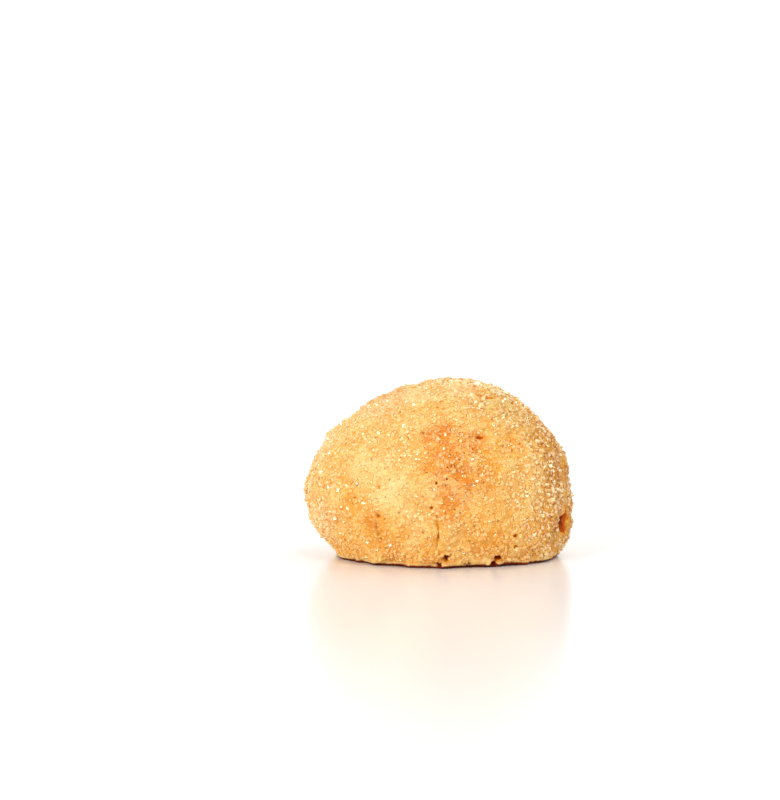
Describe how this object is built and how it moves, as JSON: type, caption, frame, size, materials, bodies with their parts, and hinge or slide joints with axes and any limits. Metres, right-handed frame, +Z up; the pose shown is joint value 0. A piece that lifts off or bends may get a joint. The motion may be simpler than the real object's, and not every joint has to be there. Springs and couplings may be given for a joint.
{
  "type": "amaretti cookie",
  "caption": "Soft almond cookie: a lopsided golden baked dome with a flat foot, cracks and pits in its crust, and a coat of coarse sugar grains.",
  "frame": {"origin": "middle of the cookie's bounding box, on the surface that its flat foot rests on", "axes": "+Z up, +X to the cookie's steeper right-hand side as the picture shows it, -Y to the front"},
  "size_m": [0.048, 0.045, 0.032],
  "materials": {
    "dough": "matte",
    "sugar": "gloss"
  },
  "bodies": {
    "root": {"cookie": "dough"}
  },
  "joints": []
}
